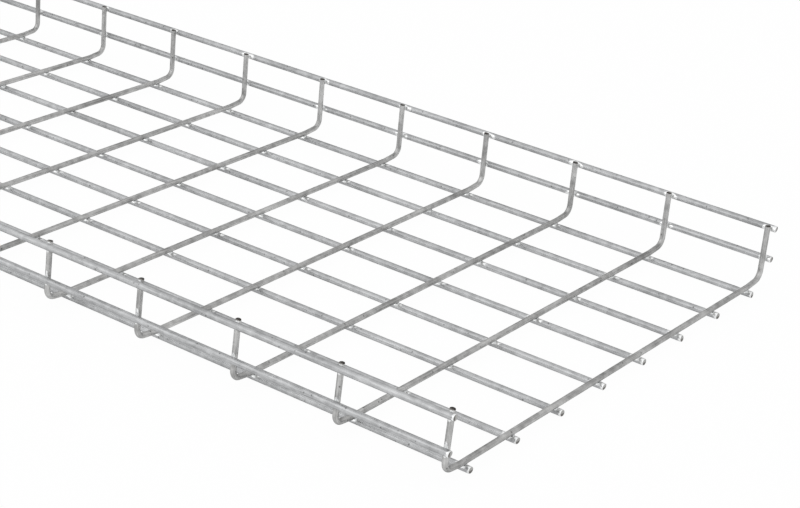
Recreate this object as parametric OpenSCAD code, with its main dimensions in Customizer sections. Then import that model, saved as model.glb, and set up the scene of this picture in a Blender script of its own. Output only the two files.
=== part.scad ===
// Welded wire cable tray, one stock length of open basket.
// X runs along the tray, Y across it and Z up.
// The origin is under the centre of the tray, in the plane that it rests on.

/* [Tray] */
// Spacing of the cross wires along the tray
cross_pitch = 100; // [60:1:150]
// Clear width between the two side walls, at the base
inner_width = 501.6; // [300:0.1:600]
// Clear height from the base cross wires to the leg tips
inner_height = 51.8; // [48:0.1:110]
// Length of the lengthwise wires past the end cross wires
end_stub = 6.6; // [4:0.1:30]

/* [Wires] */
// Diameter of the lengthwise wires
long_d = 5.8; // [5:0.1:6.5]
// Diameter of the cross wires
cross_d = 5.0; // [4:0.1:5.6]
// Depth that each weld draws the two wires into each other
weld_set_down = 0.2; // [0.1:0.05:0.3]
// Centreline radius of the two bends of a cross wire
bend_radius = 8.7; // [6:0.1:13.5]
// Angle at which the legs lean inwards, from the spring-back of the bends
leg_lean = 1.6; // [0:0.1:3]
// Angle at which a cross wire rises from the last base wire to the bend
rise_angle = 5.5; // [1:0.1:7]
// Amount by which a bend thins the wire
bend_thinning = 0.1; // [0.05:0.05:0.3]
// Chamfer left by the shears on the wire ends
end_chamfer = 0.4; // [0.1:0.1:0.8]

/* [Lengthwise wire places] */
// Distance from a side wall's centreline to the nearest base wire, before the offset
base_margin = 25.8; // [24:0.1:40]
// Sideways offset of the whole set of base wires
base_offset = 2.0; // [-2.5:0.1:2.5]
// Distance from the last base wire to where the cross wires start to rise
rise_gap = 2.0; // [2:0.1:3]
// Height of the middle side wire above the base cross wires
middle_height = 20.7; // [19:0.1:34]
// Depth of the top side wire below the leg tips
top_drop = 3.9; // [3.5:0.1:8]

/* [Hidden] */
// Round surfaces
$fn = 48;

// Each wire is a node of its own, so the counts are fixed
base_count = 8;
cross_count = 31;

// Distance between the centrelines of crossing wires
cross_offset = (long_d + cross_d) / 2 - weld_set_down;

// Heights of the wire centrelines above the floor
base_wire_z = long_d / 2;
cross_wire_z = base_wire_z + cross_offset;
leg_tip_z = cross_wire_z + cross_d / 2 + inner_height;
top_height = leg_tip_z - top_drop - cross_wire_z;

// Distances across the tray, from its middle to the centrelines
leg_y = (inner_width + cross_d) / 2;
base_pitch = (2 * leg_y - 2 * base_margin) / (base_count - 1);
rise_y = leg_y - base_margin + abs(base_offset) + rise_gap;

// Radius of the soft bend where a cross wire starts to rise
rise_radius = 10;

// Length by which a bend runs on inside the straights beside it
bend_lap = 0.4;

// Angles that the wire turns through in the soft bend and in the tight one
soft_turn = rise_angle;
tight_turn = 90 + leg_lean - rise_angle;

// Lengths that each bend takes from the two straights that would meet in its corner
soft_take = rise_radius * tan(soft_turn / 2);
tight_take = bend_radius * tan(tight_turn / 2);

// Sides of the triangle between the start of the rise, the foot of the leg's line and the corner
rise_side = (leg_y - rise_y) * cos(leg_lean) / cos(rise_angle - leg_lean);
leg_side = (leg_y - rise_y) * sin(rise_angle) / cos(rise_angle - leg_lean);

// Straight lengths of one half of a cross wire, from the middle of the base to the leg tip
base_run = rise_y - soft_take;
rise_run = rise_side - soft_take - tight_take;
leg_run = (leg_tip_z - cross_wire_z) / cos(leg_lean) - leg_side - tight_take;

// Lengths along the tray
cross_span = cross_pitch * (cross_count - 1);
tray_length = cross_span + 2 * end_stub;

// Half of the length of the cutter that seats a lengthwise wire
seat_reach = cross_d;

zinc_long = "#a3a6a8";
zinc_cross = "#a8a6a1";

function two_digits(n) = n < 10 ? str("0", n) : str(n);
function base_name(i) = str("base_wire_", i);
function cross_name(i) = str("cross_wire_", two_digits(i));

// Places across the tray and up: [y, z]
function base_place(i) = [base_offset + (i - (base_count + 1) / 2) * base_pitch, base_wire_z];
function side_place(side, height) =
    [side * (leg_y - height * tan(leg_lean) + cross_offset / cos(leg_lean)), cross_wire_z + height];
function cross_x(i) = (i - (cross_count + 1) / 2) * cross_pitch;

SIDE_NAMES = ["right_middle_wire", "right_top_wire", "left_middle_wire", "left_top_wire"];
SIDE_PLACES = [for (side = [-1, 1]) for (height = [middle_height, top_height]) side_place(side, height)];

// A straight round wire standing on its end, with the sheared rim of its top broken
module sheared_rod(length, d) {
    r = d / 2;
    rotate_extrude()
        polygon([[0, 0], [r, 0], [r, length - end_chamfer], [r - end_chamfer, length], [0, length]]);
}

// A lengthwise wire, sheared at both ends, at a place [y, z]
module long_wire(place) {
    color(zinc_long)
        translate([0, place[0], place[1]])
            for (turn = [-90, 90])
                rotate([0, turn, 0])
                    sheared_rod(tray_length / 2, long_d);
}

// A straight of a cross wire, along Y, and what follows it
module straight(length) {
    rotate([-90, 0, 0])
        cylinder(h = length, d = cross_d);
    translate([0, length, 0])
        children();
}

// An upward bend of a cross wire that comes in along Y, and what follows it
module bend_up(radius, turn) {
    lap_turn = bend_lap / radius * 180 / PI;
    translate([0, 0, radius]) {
        rotate([90, 0, 90])
            rotate([0, 0, -90 - lap_turn])
                rotate_extrude(angle = turn + 2 * lap_turn)
                    translate([radius, 0])
                        circle(d = cross_d - bend_thinning);
        rotate([turn, 0, 0])
            translate([0, 0, -radius])
                children();
    }
}

// One half of a cross wire: half of the base, the soft bend and the rise outside the last
// base wire, then the tight bend and the leg with its sheared tip
module half_cross_wire() {
    straight(base_run)
        bend_up(rise_radius, soft_turn)
            straight(rise_run)
                bend_up(bend_radius, tight_turn)
                    rotate([-90, 0, 0])
                        sheared_rod(leg_run, cross_d);
}

// The hollow that a lengthwise wire presses into a cross wire at its weld
module weld_seat(place) {
    translate([0, place[0], place[1]])
        rotate([0, 90, 0])
            cylinder(h = 2 * seat_reach, d = long_d, center = true);
}

// A U-shaped cross wire, seated on all the lengthwise wires
module cross_wire(i) {
    color(zinc_cross)
        translate([cross_x(i), 0, 0])
            difference() {
                translate([0, 0, cross_wire_z]) {
                    half_cross_wire();
                    mirror([0, 1, 0])
                        half_cross_wire();
                }
                for (n = [1 : base_count])
                    weld_seat(base_place(n));
                for (place = SIDE_PLACES)
                    weld_seat(place);
            }
}

for (i = [1 : base_count])
    long_wire(base_place(i));
for (s = [0 : len(SIDE_NAMES) - 1])
    long_wire(SIDE_PLACES[s]);
for (i = [1 : cross_count])
    cross_wire(i);
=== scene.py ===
# %% [markdown]
# # Welded wire cable tray
# The object is one stock length of open cable tray. Straight zinc-coated wires run the length of
# it, and thinner wires, bent to a U, are welded across them every 100 mm. This lesson draws each
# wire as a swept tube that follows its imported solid, adds the squeezed-out metal of every weld,
# and gives the wires the satin zinc, bright welds and sheared ends of the real thing.

# %% Load the frame
import math

import bpy
import numpy as np
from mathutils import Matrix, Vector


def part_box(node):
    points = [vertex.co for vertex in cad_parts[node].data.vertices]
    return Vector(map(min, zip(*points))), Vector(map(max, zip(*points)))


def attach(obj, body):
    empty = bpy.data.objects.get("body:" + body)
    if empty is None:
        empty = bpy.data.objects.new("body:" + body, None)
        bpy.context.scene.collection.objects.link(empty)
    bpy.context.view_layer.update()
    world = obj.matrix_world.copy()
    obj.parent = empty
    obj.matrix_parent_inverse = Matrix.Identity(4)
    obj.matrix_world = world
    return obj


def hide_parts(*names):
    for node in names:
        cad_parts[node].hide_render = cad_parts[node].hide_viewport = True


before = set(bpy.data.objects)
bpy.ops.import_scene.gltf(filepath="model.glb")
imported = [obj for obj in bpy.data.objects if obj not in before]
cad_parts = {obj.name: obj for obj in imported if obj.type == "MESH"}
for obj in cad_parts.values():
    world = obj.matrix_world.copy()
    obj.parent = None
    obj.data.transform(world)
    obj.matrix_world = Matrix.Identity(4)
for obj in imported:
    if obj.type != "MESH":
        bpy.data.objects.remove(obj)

scene = bpy.context.scene
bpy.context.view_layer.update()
print("wires in the frame:", len(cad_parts))

# %% [markdown]
# ## The camera
# It comes first, so that every later step can be looked at. It is a long lens held a little above
# the tray and tipped by a few degrees, which is why the wires look almost parallel. What it
# frames is the right part of a wider view, so the lens is shifted sideways rather than the camera
# turned.

# %% Camera
camera_data = bpy.data.cameras.new("camera")
camera_data.sensor_width = 36
camera_data.lens = 97.744
camera_data.shift_x = 0.171875
camera_data.shift_y = 0.000625
camera_data.clip_end = 100
camera = bpy.data.objects.new("camera", camera_data)
camera.location = (2.21623, -1.45686, 0.78201)
camera.rotation_euler = [math.radians(angle) for angle in (66.2322, -4.3700, 38.6209)]
scene.collection.objects.link(camera)
scene.camera = camera
print("camera stands", round(camera.location.length, 2), "m from the middle of the tray")

# %% [markdown]
# ## Sizes
# The wires' diameters are shop sizes. Every place comes from the imported solids, so a wire drawn
# here lies exactly on the imported wire. All working lengths are in
# millimetres, because a wire drawer thinks in them, and they are turned to metres once, when a
# mesh is written.

# %% Measure the frame
MM = 0.001
LONG_R = 2.9
CROSS_R = 2.5
WELD_SET_DOWN = 0.2
TIP_CHAMFER = 0.4
BEND_R = 8.7
RISE_R = 10.0
RISE_ANGLE = math.radians(5.5)
RISE_GAP = 2.0


def node_middle(name):
    """Middle of a packed wire's box, in millimetres."""
    low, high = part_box(name)
    return (np.array(low) + np.array(high)) / 2 / MM


base_names = sorted(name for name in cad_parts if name.startswith("base_wire"))
cross_names = sorted(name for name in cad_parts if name.startswith("cross_wire"))
side_names = sorted(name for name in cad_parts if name.startswith(("left_", "right_")))

cross_offset = LONG_R + CROSS_R - WELD_SET_DOWN
cross_z = node_middle(base_names[0])[2] + cross_offset
cross_x = [node_middle(name)[0] for name in cross_names]

# the two wires on the left wall show how far its legs lean inwards
lower_y, lower_z = node_middle("left_middle_wire")[1:]
upper_y, upper_z = node_middle("left_top_wire")[1:]
lean = math.atan2(lower_y - upper_y, upper_z - lower_z)
leg_y = lower_y - cross_offset / math.cos(lean) + (lower_z - cross_z) * math.tan(lean)
tip_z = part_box(cross_names[0])[1][2] / MM - (CROSS_R - TIP_CHAMFER) * math.sin(lean)
tray_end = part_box(base_names[0])[1][0] / MM
print("legs at y", round(leg_y, 2), "mm lean by", round(math.degrees(lean), 2), "degrees")
print("leg tips at z", round(tip_z, 2), "mm, tray ends at x", round(tray_end, 2), "mm")

# %% [markdown]
# ## Where the welds are
# Two round wires that cross touch at one point. Each touching point matters three times over: the
# squeezed-out metal lies round it, the zinc beside it has melted and set bright, and the
# electrodes leave a flat on the far side of both wires. So the crossings are listed once, with
# the direction from the lengthwise wire to the cross wire, and everything else reads that list.

# %% List the crossings
inward = {
    "base": (0, 0, 1),
    "right": (0, math.cos(lean), -math.sin(lean)),
    "left": (0, -math.cos(lean), -math.sin(lean)),
}


def wire_kind(name):
    """Which face of the tray a lengthwise wire belongs to: base, right or left."""
    return name.split("_")[0]


crossings = []
for name in base_names + side_names:
    middle = node_middle(name)
    facing = np.array(inward[wire_kind(name)], float)
    for x in cross_x:
        touch = np.array((x, middle[1], middle[2])) + facing * (LONG_R - WELD_SET_DOWN / 2)
        crossings.append({"wire": name, "x": x, "touch": touch, "facing": facing})
print("crossings:", len(crossings))

# %% [markdown]
# ## Drawing a wire
# A wire could be a curve with a round bevel, but then its skin can't be pressed flat or cut at an
# angle. So it is swept ring by ring: rings of points stand along a path, close together near a weld
# and wide apart between them. Each point keeps three attributes for the finish: where it lies on
# the unrolled wire in millimetres, how near the weld's contact it is, and how near an electrode's
# flat. Both are measured over the skin, along the wire and round it, because molten zinc creeps
# that way.

# %% Place the rings
SIDES = 20
NEAR_AN_END = (0.7, 1.6)
NEAR_A_WELD = (1.0, 2.4, 3.8, 5.2, 7.0, 9.5, 13.0)
CLOSEST_STEP = 0.3
WIDEST_STEP = 20.0
rng = np.random.default_rng(11)


def places_along(length, welds, bends=()):
    """Distances along a wire at which its rings stand."""
    places = {0.0, length}
    for step in NEAR_AN_END:
        places.update((step, length - step))
    for weld in welds:
        places.add(weld)
        for step in NEAR_A_WELD:
            places.update((weld - step, weld + step))
    places = sorted(p for p in places.union(bends) if 0 <= p <= length)
    kept = [places[0]]
    for place in places[1:]:
        gap = place - kept[-1]
        if gap < CLOSEST_STEP and place < length:
            continue
        extra = int(gap // WIDEST_STEP)
        kept += [kept[-1] + gap * (k + 1) / (extra + 1) for k in range(extra)]
        kept.append(place)
    return np.array(kept)


ring_places = places_along(2 * tray_end, [x + tray_end for x in cross_x])
print("rings on a lengthwise wire:", len(ring_places))

# %% Measure over the skin
LONG_WELD_TURN = math.radians(110)
CROSS_WELD_TURN = math.radians(72)
WELD_REACH = (6.5, 12.0)
MARK_TURN = math.radians(70)
MARK_REACH = (4.0, 7.0)


def nearness(along, turned, spots, widest_turn, reach):
    """1 at each spot on a wire's skin, 0 from widest_turn round it or from reach along it."""
    near = np.zeros((len(along), len(turned)))
    for spot in spots:
        before, after = rng.uniform(*reach, 2)
        away = np.where(along < spot, (spot - along) / before, (along - spot) / after)
        near = np.maximum(near, 1 - np.hypot(away[:, None], turned[None, :] / widest_turn))
    return near


print("remelted zinc reaches up to", WELD_REACH[1], "mm along a wire from its weld")

# %% Write a mesh
def write_mesh(name, points, faces, materials, attributes, face_material):
    """Turn millimetre points and faces into a smooth-shaded object."""
    mesh = bpy.data.meshes.new(name)
    mesh.from_pydata((points * MM).tolist(), [], faces)
    for material in materials:
        mesh.materials.append(material)
    mesh.polygons.foreach_set("material_index", np.array(face_material, np.int32))
    mesh.shade_smooth()
    for key, values in attributes.items():
        if values.ndim == 2:
            layer = mesh.attributes.new(key, "FLOAT_VECTOR", "POINT")
            layer.data.foreach_set("vector", values.astype(np.float32).ravel())
        else:
            layer = mesh.attributes.new(key, "FLOAT", "POINT")
            layer.data.foreach_set("value", values.astype(np.float32))
    piece = bpy.data.objects.new(name, mesh)
    scene.collection.objects.link(piece)
    return piece


# %% Sweep a wire
MARK_DEPTH = 0.28
MARK_FULL = 0.5
MARK_FADE = 4.5
END_LEAN = (0.25, 0.7)
ROLLED_ROUND = 0.05
ROLLED_AT_BLADE = 0.06
RUB_SHINE = 0.6
RUB_REACH = 7.0
RIM = 0.86
PATTERN_ROOM = 5000
angle = (np.arange(SIDES) + 0.5) * 2 * math.pi / SIDES
# a polygon drawn inside a circle is a little small, and this gives it nearly the circle's area,
# less a hair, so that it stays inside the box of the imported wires
HAIR = 0.996
FULL_SIZE = HAIR * math.sqrt(2 * math.pi / SIDES / math.sin(2 * math.pi / SIDES))


def sweep_wire(name, path, length, radius, welds, weld_turn, materials, torn=0, bends=()):
    """One wire. path(s) gives points, the side direction and the way that the electrode flats face.

    torn is how many rings behind each end are torn. With none, the shears rub a bright band there.
    """
    along = places_along(length, welds, bends)
    centre, side, flat = path(along)
    across = np.cos(angle)[None, :] * radius * FULL_SIZE * np.ones((len(along), 1))
    up = np.sin(angle)[None, :] * radius * FULL_SIZE * np.ones((len(along), 1))
    pressed = np.zeros(len(along))
    for weld in welds:
        depth = 1 + MARK_FULL - np.abs(along - weld) / MARK_FADE
        pressed = np.maximum(pressed, np.clip(depth, 0, 1))
    up = np.minimum(up, radius - MARK_DEPTH * pressed[:, None])
    # the shears leave each end face leaning, with its first edge rolled over
    end_lean = rng.uniform(*END_LEAN, 2)
    turn = rng.uniform(0, 2 * math.pi, 2)
    travel = np.gradient(centre, along, axis=0)
    sideways = across[..., None] * side[:, None, :]
    rings = centre[:, None, :] + sideways + up[..., None] * flat[:, None, :]
    for end, inwards in ((0, 1), (-1, -1)):
        drop = end_lean[end] * (1 + np.cos(angle - turn[end])) / 2
        rings[end] += inwards * drop[:, None] * travel[end]
        rolled = 1 - ROLLED_ROUND - ROLLED_AT_BLADE * (1 + np.cos(angle - turn[end])) / 2
        rings[end] = centre[end] + (rings[end] - centre[end]) * rolled[:, None]
    # the contact lies opposite the flat, which is a quarter turn on from the side direction
    from_flat = np.abs((angle - math.pi / 2 + math.pi) % (2 * math.pi) - math.pi)
    weld = nearness(along, math.pi - from_flat, welds, weld_turn, WELD_REACH)
    if not torn:
        # cropping rubs a bright band round the wire behind each end
        rubbed = RUB_SHINE - np.minimum(along, length - along) / RUB_REACH
        weld = np.maximum(weld, rubbed[:, None])
    mark = nearness(along, from_flat, welds, MARK_TURN, MARK_REACH)

    points = rings.reshape(-1, 3)
    lengthwise = np.broadcast_to(along[:, None], across.shape)
    unrolled = np.stack([lengthwise, across, up], axis=-1).reshape(-1, 3)
    weld, mark = weld.ravel(), mark.ravel()
    count = len(along)
    faces = []
    for i in range(count - 1):
        near, far = i * SIDES, (i + 1) * SIDES
        for j in range(SIDES):
            k = (j + 1) % SIDES
            faces.append((near + j, near + k, far + k, far + j))
    kinds = [int(min(i, count - 2 - i) < torn) for i in range(count - 1) for j in range(SIDES)]
    # each end is closed by a ring a little inside the edge and a middle point
    for end, ring in ((0, 0), (-1, count - 1)):
        first = len(points)
        edge = slice(ring * SIDES, (ring + 1) * SIDES)
        middle = points[edge].mean(axis=0)
        points = np.vstack([points, middle + (points[edge] - middle) * RIM, middle])
        inner, centre_point = unrolled[edge] * (1, RIM, RIM), unrolled[edge].mean(axis=0)
        unrolled = np.vstack([unrolled, inner, centre_point])
        weld = np.concatenate([weld, np.zeros(SIDES + 1)])
        mark = np.concatenate([mark, np.zeros(SIDES + 1)])
        for j in range(SIDES):
            k = (j + 1) % SIDES
            a, b = ring * SIDES + j, ring * SIDES + k
            quad = (a, first + j, first + k, b)
            tri = (first + j, first + SIDES, first + k)
            faces += [quad, tri] if end == 0 else [quad[::-1], tri[::-1]]
            kinds += [1, 1]
    if np.dot(np.cross(side[0], flat[0]), travel[0]) > 0:
        faces = [face[::-1] for face in faces]
    # each wire takes its pattern from a place of its own
    unrolled = unrolled + np.array([rng.uniform(0, PATTERN_ROOM), 0, 0])
    attributes = {"unrolled": unrolled, "weld": weld, "mark": mark}
    return write_mesh(name, points, faces, materials, attributes, kinds)


print("each wire is drawn with", SIDES, "sides,", round(FULL_SIZE, 4), "times its radius")

# %% [markdown]
# ## Materials
# One function turns the hex colours that a painter would pick into the linear values that Blender
# mixes. One adds a node with its settings and links, and one starts an empty material for them.

# %% Material helpers

def colour(hex_code):
    """An sRGB hex colour as linear red, green, blue and alpha."""
    channels = [int(hex_code[i : i + 2], 16) / 255 for i in (1, 3, 5)]
    linear = [c / 12.92 if c <= 0.04045 else ((c + 0.055) / 1.055) ** 2.4 for c in channels]
    return (*linear, 1)


def add_node(tree, kind, inputs=None, **settings):
    """Add one node. inputs maps a socket's name or number to a value or to another's output."""
    made = tree.nodes.new(kind)
    for key, value in settings.items():
        setattr(made, key, value)
    for socket, value in (inputs or {}).items():
        if isinstance(value, bpy.types.NodeSocket):
            tree.links.new(value, made.inputs[socket])
        else:
            made.inputs[socket].default_value = value
    return made


def new_material(name):
    """An empty material with its output node."""
    material = bpy.data.materials.new(name)
    material.use_nodes = True
    material.node_tree.nodes.clear()
    output = material.node_tree.nodes.new("ShaderNodeOutputMaterial")
    return material, material.node_tree, output


print("mid grey #808080 is", round(colour("#808080")[0], 3), "in linear light")

# %% [markdown]
# ### Zinc-coated drawn wire
# The wire is pulled through a die and then coated with zinc. The die leaves fine lines along it,
# which stretch every highlight across the wire, and the zinc is a satin grey with small dull and
# bright clouds and a few pits. Beside a weld the zinc has melted and set again, so it is almost
# white and much smoother there, and where an electrode pressed, it is scuffed and mottled. A die
# line is about 0.1 mm wide, too fine to show at this distance, so the lines here are drawn at 0.9
# mm. The tone also drifts slowly along each coil, so no two wires are quite alike.

# %% Drawn zinc wire
DIE_LINE = 0.9
PIT_SPACING = 7.0
COIL = 90.0
COIL_SHARE = 0.9
GRAIN = 0.9
RAGGEDNESS = 0.9
LINE_HEIGHT = 0.04 * MM


def drawn_zinc(name, dull_hex, bright_hex, line_length, cloud):
    """Satin zinc on drawn wire, with remelted zinc at the welds and scuffs under the electrodes."""
    material, tree, output = new_material(name)
    unrolled = add_node(tree, "ShaderNodeAttribute", attribute_name="unrolled").outputs["Vector"]
    weld = add_node(tree, "ShaderNodeAttribute", attribute_name="weld").outputs["Fac"]
    mark = add_node(tree, "ShaderNodeAttribute", attribute_name="mark").outputs["Fac"]

    stretch = (1 / line_length, 1 / DIE_LINE, 1 / DIE_LINE)
    stretched = add_node(
        tree, "ShaderNodeVectorMath", {0: unrolled, 1: stretch}, operation="MULTIPLY"
    ).outputs[0]
    lines = add_node(
        tree, "ShaderNodeTexNoise",
        {"Vector": stretched, "Scale": 1.0, "Detail": 3.0, "Roughness": 0.6},
    ).outputs["Fac"]
    clouds = add_node(
        tree, "ShaderNodeTexNoise",
        {"Vector": unrolled, "Scale": 1 / cloud, "Detail": 3.0, "Roughness": 0.55},
    ).outputs["Fac"]
    grain = add_node(
        tree, "ShaderNodeTexNoise",
        {"Vector": unrolled, "Scale": 1 / GRAIN, "Detail": 2.0, "Roughness": 0.6},
    ).outputs["Fac"]
    pit_gap = add_node(
        tree, "ShaderNodeTexVoronoi", {"Vector": unrolled, "Scale": 1 / PIT_SPACING}
    ).outputs["Distance"]
    pits = add_node(
        tree, "ShaderNodeMapRange",
        {"Value": pit_gap, "From Min": 0.07, "From Max": 0.15, "To Min": 0.45, "To Max": 1.0},
    ).outputs["Result"]

    coil = add_node(
        tree, "ShaderNodeTexNoise",
        {"Vector": unrolled, "Scale": 1 / COIL, "Detail": 1.0, "Roughness": 0.5},
    ).outputs["Fac"]
    pattern = add_node(tree, "ShaderNodeMath", {0: lines, 1: clouds}, operation="ADD").outputs[0]
    pattern = add_node(
        tree, "ShaderNodeMath", {0: coil, 1: COIL_SHARE, 2: pattern}, operation="MULTIPLY_ADD"
    ).outputs[0]
    tone = add_node(
        tree, "ShaderNodeMapRange", {"Value": pattern, "From Min": 1.13, "From Max": 1.77}
    ).outputs["Result"]
    satin = add_node(
        tree, "ShaderNodeMix", {0: tone, 6: colour(dull_hex), 7: colour(bright_hex)},
        data_type="RGBA",
    ).outputs[2]
    pitted = add_node(
        tree, "ShaderNodeMix", {0: 1.0, 6: satin, 7: pits}, data_type="RGBA", blend_type="MULTIPLY"
    ).outputs[2]

    ragged = add_node(
        tree, "ShaderNodeMath", {0: clouds, 1: RAGGEDNESS, 2: weld}, operation="MULTIPLY_ADD"
    ).outputs[0]
    melted = add_node(
        tree, "ShaderNodeMapRange", {"Value": ragged, "From Min": 0.64, "From Max": 0.86},
        interpolation_type="SMOOTHSTEP",
    ).outputs["Result"]
    remelted = add_node(
        tree, "ShaderNodeMix", {0: melted, 6: pitted, 7: colour("#F6F7F7")}, data_type="RGBA"
    ).outputs[2]

    scuff_depth = add_node(
        tree, "ShaderNodeMath", {0: grain, 1: RAGGEDNESS, 2: mark}, operation="MULTIPLY_ADD"
    ).outputs[0]
    scuffed = add_node(
        tree, "ShaderNodeMapRange",
        {"Value": scuff_depth, "From Min": 0.85, "From Max": 1.1, "To Max": 0.35},
    ).outputs["Result"]
    finish = add_node(
        tree, "ShaderNodeMix", {0: scuffed, 6: remelted, 7: colour("#CDCECF")}, data_type="RGBA"
    ).outputs[2]

    dullness = add_node(
        tree, "ShaderNodeMapRange",
        {"Value": clouds, "From Min": 0.3, "From Max": 0.7, "To Min": 0.4, "To Max": 0.5},
    ).outputs["Result"]
    roughness = add_node(tree, "ShaderNodeMix", {0: melted, 2: dullness, 3: 0.2}).outputs[0]
    relief = add_node(tree, "ShaderNodeMath", {0: lines, 1: grain}, operation="ADD").outputs[0]
    bump = add_node(
        tree, "ShaderNodeBump", {"Height": relief, "Strength": 0.25, "Distance": LINE_HEIGHT}
    ).outputs["Normal"]
    shader = add_node(
        tree, "ShaderNodeBsdfPrincipled",
        {
            "Base Color": finish, "Metallic": 1.0, "Roughness": roughness, "Normal": bump,
            "Specular Tint": colour("#C4C4C4"),
        },
    )
    tree.links.new(shader.outputs[0], output.inputs[0])
    return material


long_zinc = drawn_zinc("zinc_coated_drawn_wire_lengthwise", "#A0A1A2", "#CDCECF", 15.0, 6.0)
cross_zinc = drawn_zinc("zinc_coated_drawn_wire_cross", "#949493", "#D4D4D3", 34.0, 8.0)
print("made", long_zinc.name, "and", cross_zinc.name)

# %% [markdown]
# ### Sheared steel
# The wires are cropped with shears after the welding. A blade first rubs the steel bright, and
# then the rest of it tears, so an end face is partly a bright crescent and partly a dark grainy
# break. The lengthwise wires' ends are about half rubbed, and the leg tips are mostly torn.

# %% Sheared steel
BREAK_GRAIN = 0.625
BREAK_HEIGHT = 0.1 * MM
EDGE_WANDER = 1.6
TEAR_WIDTH = 0.4


def sheared_steel(name, rubbed_hex, torn_hex, torn_from):
    """Rubbed steel that turns to a dark torn break, torn_from millimetres up across the face."""
    material, tree, output = new_material(name)
    unrolled = add_node(tree, "ShaderNodeAttribute", attribute_name="unrolled").outputs["Vector"]
    across = add_node(tree, "ShaderNodeSeparateXYZ", {0: unrolled}).outputs["Z"]
    grain = add_node(
        tree, "ShaderNodeTexNoise", {"Vector": unrolled, "Scale": 1 / BREAK_GRAIN, "Detail": 3.0}
    ).outputs["Fac"]
    edge = add_node(
        tree, "ShaderNodeMath", {0: grain, 1: EDGE_WANDER, 2: across}, operation="MULTIPLY_ADD"
    ).outputs[0]
    torn = add_node(
        tree, "ShaderNodeMapRange",
        {"Value": edge, "From Min": torn_from, "From Max": torn_from + TEAR_WIDTH},
    ).outputs["Result"]
    tint = add_node(
        tree, "ShaderNodeMix", {0: torn, 6: colour(rubbed_hex), 7: colour(torn_hex)},
        data_type="RGBA",
    ).outputs[2]
    roughness = add_node(tree, "ShaderNodeMix", {0: torn, 2: 0.25, 3: 0.6}).outputs[0]
    bump = add_node(
        tree, "ShaderNodeBump", {"Height": grain, "Strength": 0.5, "Distance": BREAK_HEIGHT}
    ).outputs["Normal"]
    shader = add_node(
        tree, "ShaderNodeBsdfPrincipled",
        {"Base Color": tint, "Metallic": 1.0, "Roughness": roughness, "Normal": bump},
    )
    tree.links.new(shader.outputs[0], output.inputs[0])
    return material


cut_steel = sheared_steel("sheared_steel", "#A9A9A7", "#7C7A77", 0.9)
torn_steel = sheared_steel("torn_steel", "#8A8885", "#4A4744", -0.6)
print("made", cut_steel.name, "and", torn_steel.name)

# %% [markdown]
# ### Weld flash and painted corner shade
# Resistance welding squeezes a little molten steel and zinc out between the wires. It sets as
# small glossy bright beads. In some corners between the wires, the outermost edge of a bead is
# painted nearly black: that is painted shade, standing for the shade in the corner.

# %% Weld flash
def weld_flash_and_corner_shade(name):
    """Glossy bright beads whose near-black outer edges in some corners are painted shade."""
    material, tree, output = new_material(name)
    corner_shade = add_node(tree, "ShaderNodeAttribute", attribute_name="corner_shade").outputs["Fac"]
    # painted shade: the attribute darkens the outer edge of a bead to near black in some corners
    # between the wires
    tint = add_node(
        tree, "ShaderNodeMix", {0: corner_shade, 6: colour("#D6D7D8"), 7: colour("#2B2A29")},
        data_type="RGBA",
    ).outputs[2]
    roughness = add_node(tree, "ShaderNodeMix", {0: corner_shade, 2: 0.2, 3: 0.5}).outputs[0]
    shader = add_node(
        tree, "ShaderNodeBsdfPrincipled",
        {"Base Color": tint, "Metallic": 1.0, "Roughness": roughness},
    )
    tree.links.new(shader.outputs[0], output.inputs[0])
    return material


flash_and_shade_metal = weld_flash_and_corner_shade("weld_flash_and_corner_shade")
print("made", flash_and_shade_metal.name)

# %% [markdown]
# ## The lengthwise wires
# Twelve straight wires, eight under the base and two outside each wall. Their electrode flats
# face away from the tray.

# %% Lengthwise wires
wires = []
for name in base_names + side_names:
    middle = node_middle(name)
    own = [c for c in crossings if c["wire"] == name]
    outward = -own[0]["facing"]
    side_way = np.cross(outward, (1, 0, 0))

    def straight(s, middle=middle, outward=outward, side_way=side_way):
        across, up = np.full_like(s, middle[1]), np.full_like(s, middle[2])
        centre = np.stack([s - tray_end, across, up], axis=-1)
        return centre, np.tile(side_way, (len(s), 1)), np.tile(outward, (len(s), 1))

    piece = sweep_wire(
        f"drawn_{name}", straight, 2 * tray_end, LONG_R, [c["x"] + tray_end for c in own],
        LONG_WELD_TURN, [long_zinc, cut_steel],
    )
    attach(piece, "root")
    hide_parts(name)
    wires.append(piece)
print("lengthwise wires:", len(wires), "with", sum(len(w.data.polygons) for w in wires), "faces")

# %% [markdown]
# ## The cross wires
# Each is bent to a U and lies inside the lengthwise wires. Outside the last base wire it rises by
# a few degrees, then it turns up sharply, and the leg leans a little inwards. Both halves are
# alike, so the path is worked out once from the middle of the base as straights and bends in
# turn. No two wires are cropped quite alike, so the tips stand up to about half a millimetre
# short of the full height.

# %% Cross wires
rise_y = max(abs(node_middle(name)[1]) for name in base_names) + RISE_GAP
tight_turn = math.pi / 2 + lean - RISE_ANGLE
soft_take = RISE_R * math.tan(RISE_ANGLE / 2)
tight_take = BEND_R * math.tan(tight_turn / 2)
rise_side = (leg_y - rise_y) * math.cos(lean) / math.cos(RISE_ANGLE - lean)
leg_side = (leg_y - rise_y) * math.sin(RISE_ANGLE) / math.cos(RISE_ANGLE - lean)
leg_reach = (tip_z - cross_z) / math.cos(lean)
# each step is a length and the angle that the wire turns through on it
half_steps = [
    (rise_y - soft_take, 0.0),
    (RISE_R * RISE_ANGLE, RISE_ANGLE),
    (rise_side - soft_take - tight_take, 0.0),
    (BEND_R * tight_turn, tight_turn),
    (leg_reach - leg_side - tight_take, 0.0),
]
half_length = sum(length for length, turned in half_steps)
print("each cross wire is cut", round(2 * half_length, 1), "mm long")


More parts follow.
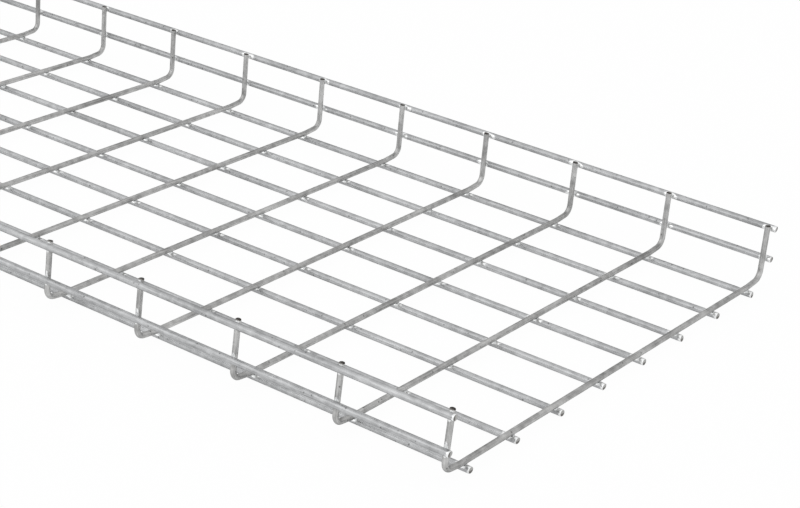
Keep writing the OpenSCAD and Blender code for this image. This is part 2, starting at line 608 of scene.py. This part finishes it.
def half_u(distance):
    """Place and heading on half a cross wire, at distances from the middle of the base."""
    y, z, heading = np.zeros_like(distance), np.zeros_like(distance), np.zeros_like(distance)
    start, start_y, start_z, start_heading = 0.0, 0.0, cross_z, 0.0
    for length, turned in half_steps:
        on = distance >= start
        t = distance[on] - start
        if turned:
            radius = length / turned
            heading[on] = start_heading + t / radius
            y[on] = start_y + radius * (np.sin(heading[on]) - math.sin(start_heading))
            z[on] = start_z + radius * (math.cos(start_heading) - np.cos(heading[on]))
            start_y += radius * (math.sin(start_heading + turned) - math.sin(start_heading))
            start_z += radius * (math.cos(start_heading) - math.cos(start_heading + turned))
        else:
            heading[on] = start_heading
            y[on] = start_y + t * math.cos(start_heading)
            z[on] = start_z + t * math.sin(start_heading)
            start_y += length * math.cos(start_heading)
            start_z += length * math.sin(start_heading)
        start += length
        start_heading += turned
    return y, z, heading


def u_path(x, short_right):
    """The path of one cross wire, from its right tip to its left one."""

    def path(s):
        signed = s + short_right - half_length
        half = np.where(signed < 0, -1.0, 1.0)
        y, z, heading = half_u(np.abs(signed))
        heading = heading * half
        centre = np.stack([np.full_like(s, x), y * half, z], axis=-1)
        inner = np.stack([np.zeros_like(s), -np.sin(heading), np.cos(heading)], axis=-1)
        return centre, np.tile((1.0, 0.0, 0.0), (len(s), 1)), inner

    return path


def place_on_u(crossing):
    """Distance along the full U of its touching point with a lengthwise wire."""
    y, z = crossing["touch"][1:] + crossing["facing"][1:] * (CROSS_R - WELD_SET_DOWN / 2)
    if wire_kind(crossing["wire"]) == "base":
        return half_length + y
    from_tip = (tip_z - z) / math.cos(lean)
    return from_tip if y < 0 else 2 * half_length - from_tip


TIGHT_STEPS = 10
tight_start = sum(length for length, turned in half_steps[:3])
tight_places = [tight_start + BEND_R * tight_turn * k / TIGHT_STEPS for k in range(TIGHT_STEPS + 1)]
soft_places = [half_steps[0][0], half_steps[0][0] + half_steps[1][0]]
bend_places = [half_length + way * place for place in soft_places + tight_places for way in (-1, 1)]
print("rings added in the bends of a cross wire:", len(bend_places))

# %% Sweep the cross wires
CROPPED_SHORT = (0.1, 0.6)
TORN_RINGS = 1


def sweep_u(name, x):
    """One bent cross wire with its two sheared tips."""
    own = [c for c in crossings if c["x"] == x]
    short = rng.uniform(*CROPPED_SHORT, 2)
    welds = [place_on_u(c) - short[0] for c in own]
    return sweep_wire(
        name, u_path(x, short[0]), 2 * half_length - short.sum(), CROSS_R, welds, CROSS_WELD_TURN,
        [cross_zinc, torn_steel], TORN_RINGS, [place - short[0] for place in bend_places],
    )


crosses = []
for name, x in zip(cross_names, cross_x):
    piece = sweep_u(f"drawn_{name}", x)
    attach(piece, "root")
    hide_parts(name)
    crosses.append(piece)
print("cross wires:", len(crosses), "with", sum(len(w.data.polygons) for w in crosses), "faces")

# %% [markdown]
# ## The weld flash
# The metal squeezed from a weld has nowhere to go but the four corners between the wires. So a
# bead is a flat pillow in the plane where the wires touch, pushed out along its diagonals by a
# different amount in each corner. One mesh holds all the beads of one face of the tray.

# %% Weld beads
BEAD_STEPS = 16
BEAD_RINGS = 4
BEAD_REACH = 1.8
BEAD_PUSH = 1.1
BEAD_THICK = (0.6, 0.9)
CORNER_POWER = 1.5
# share of a bead's four corners whose outer edge gets painted shade
SHADED_CORNER_SHARE = 0.4


def bead(crossing):
    """Points, faces and painted corner shade of one pillow of squeezed-out metal."""
    facing = crossing["facing"]
    along = np.array((1.0, 0.0, 0.0))
    across = np.cross(facing, along)
    angle = np.arange(BEAD_STEPS) * 2 * math.pi / BEAD_STEPS
    corner = np.floor(angle / (math.pi / 2)).astype(int) % 4
    push = rng.uniform(0.0, BEAD_PUSH, 4)[corner]
    diagonal = np.abs(np.sin(2 * angle))
    reach = BEAD_REACH + push * diagonal**CORNER_POWER
    thick = rng.uniform(*BEAD_THICK)
    # painted shade: corners picked at random darken towards black at the bead's outer edge, where
    # the corner between the wires lies in shade
    corner_shaded = (rng.uniform(0, 1, 4) < SHADED_CORNER_SHARE)[corner] * diagonal**2
    points, corner_shade = [crossing["touch"] + facing * thick], [0.0]
    for ring in range(1, 2 * BEAD_RINGS):
        tilt = math.pi * ring / (2 * BEAD_RINGS)
        out, rise = math.sin(tilt), math.cos(tilt)
        for k in range(BEAD_STEPS):
            spot = along * math.cos(angle[k]) + across * math.sin(angle[k])
            points.append(crossing["touch"] + spot * reach[k] * out + facing * thick * rise)
            corner_shade.append(corner_shaded[k] * out**2)
    points.append(crossing["touch"] - facing * thick)
    corner_shade.append(0.0)
    last = len(points) - 1
    faces = [(0, 1 + k, 1 + (k + 1) % BEAD_STEPS) for k in range(BEAD_STEPS)]
    for ring in range(2 * BEAD_RINGS - 2):
        a, b = 1 + ring * BEAD_STEPS, 1 + (ring + 1) * BEAD_STEPS
        for k in range(BEAD_STEPS):
            n = (k + 1) % BEAD_STEPS
            faces.append((a + k, b + k, b + n, a + n))
    start = 1 + (2 * BEAD_RINGS - 2) * BEAD_STEPS
    faces += [(start + k, last, start + (k + 1) % BEAD_STEPS) for k in range(BEAD_STEPS)]
    return np.array(points), faces, corner_shade


for kind in inward:
    points, faces, corner_shade = [], [], []
    for crossing in (c for c in crossings if wire_kind(c["wire"]) == kind):
        own_points, own_faces, own_corner_shade = bead(crossing)
        shift = sum(len(p) for p in points)
        points.append(own_points)
        faces += [tuple(v + shift for v in face) for face in own_faces]
        corner_shade += own_corner_shade
    piece = write_mesh(
        f"weld_flash_and_corner_shade_{kind}", np.vstack(points), faces, [flash_and_shade_metal], {"corner_shade": np.array(corner_shade)},
        [0] * len(faces),
    )
    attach(piece, "root")
    print(piece.name, len(faces), "faces")

# %% [markdown]
# ## Floor, world and lamps
# The tray lies on a plain white floor. The camera sees the floor as white, with the tray's soft
# shadow left in it, and the wires mirror it at about half of that, as they would a sheet of paper
# in their own shade. The world is as bright as white paper and falls off by a quarter towards the
# far side, though the camera sees it white all round. One large softbox stands low on the near
# side: the lengthwise wires mirror it along their middles, the cross wires hardly do, and that
# sets the two apart.

# %% Floor
FLOOR_HALF = 20
SEEN_WHITE = 0.955
MIRRORED_WHITE = 0.5
floor_mesh = bpy.data.meshes.new("floor")
corners = ((-1, -1), (1, -1), (1, 1), (-1, 1))
floor_mesh.from_pydata([(x * FLOOR_HALF, y * FLOOR_HALF, 0) for x, y in corners], [], [(0, 1, 2, 3)])
floor = bpy.data.objects.new("floor", floor_mesh)
scene.collection.objects.link(floor)

floor_paper, tree, output = new_material("white_paper")
rays = add_node(tree, "ShaderNodeLightPath")
mirrored = add_node(
    tree, "ShaderNodeMath",
    {0: rays.outputs["Is Glossy Ray"], 1: rays.outputs["Is Transmission Ray"]}, operation="MAXIMUM",
).outputs[0]
mirrored = add_node(
    tree, "ShaderNodeMath", {0: mirrored, 1: MIRRORED_WHITE}, operation="MULTIPLY"
).outputs[0]
seen = add_node(
    tree, "ShaderNodeMath", {0: rays.outputs["Is Camera Ray"], 1: SEEN_WHITE}, operation="MULTIPLY"
).outputs[0]
glow_share = add_node(
    tree, "ShaderNodeMath", {0: seen, 1: mirrored}, operation="MAXIMUM"
).outputs[0]
paper = add_node(tree, "ShaderNodeBsdfDiffuse", {"Color": colour("#F7F7F7")}).outputs[0]
glow = add_node(
    tree, "ShaderNodeEmission", {"Color": colour("#FFFFFF"), "Strength": 1.0}
).outputs[0]
mixed = add_node(tree, "ShaderNodeMixShader", {0: glow_share, 1: paper, 2: glow})
tree.links.new(mixed.outputs[0], output.inputs[0])
floor_mesh.materials.append(floor_paper)
print("floor is", 2 * FLOOR_HALF, "m across")

# %% World
FAR_SIDE_LEVEL = 0.74
world = bpy.data.worlds.new("studio")
scene.world = world
world.use_nodes = True
tree = world.node_tree
tree.nodes.clear()
around = add_node(tree, "ShaderNodeTexCoord").outputs["Generated"]
across = add_node(tree, "ShaderNodeSeparateXYZ", {0: around}).outputs["Y"]
level = add_node(
    tree, "ShaderNodeMapRange",
    {"Value": across, "From Min": 0.0, "From Max": 0.9, "To Min": 1.0, "To Max": FAR_SIDE_LEVEL},
).outputs["Result"]
seen = add_node(tree, "ShaderNodeLightPath").outputs["Is Camera Ray"]
strength = add_node(tree, "ShaderNodeMath", {0: level, 1: seen}, operation="MAXIMUM").outputs[0]
sky = add_node(tree, "ShaderNodeBackground", {"Color": colour("#FFFFFF"), "Strength": strength})
add_node(tree, "ShaderNodeOutputWorld", {0: sky.outputs[0]})
print("world falls from 1 to", FAR_SIDE_LEVEL, "on the far side")

# %% Lamps
scene.view_settings.view_transform = "Standard"


def softbox(name, place, target, size, watts):
    """A rectangular lamp that faces a target."""
    data = bpy.data.lights.new(name, "AREA")
    data.shape = "RECTANGLE"
    data.size, data.size_y = size
    data.energy = watts
    lamp = bpy.data.objects.new(name, data)
    lamp.location = place
    aim = np.array(target) - np.array(place)
    lamp.rotation_euler = (
        math.atan2(math.hypot(aim[0], aim[1]), -aim[2]), 0, math.atan2(-aim[0], aim[1]),
    )
    scene.collection.objects.link(lamp)
    print(name, "is", size[0], "by", size[1], "m and stands", round(math.hypot(*aim), 2), "m away")


softbox("key", place=(0.2, -2.6, 1.6), target=(1.2, 0, 0), size=(3.2, 2.2), watts=10)
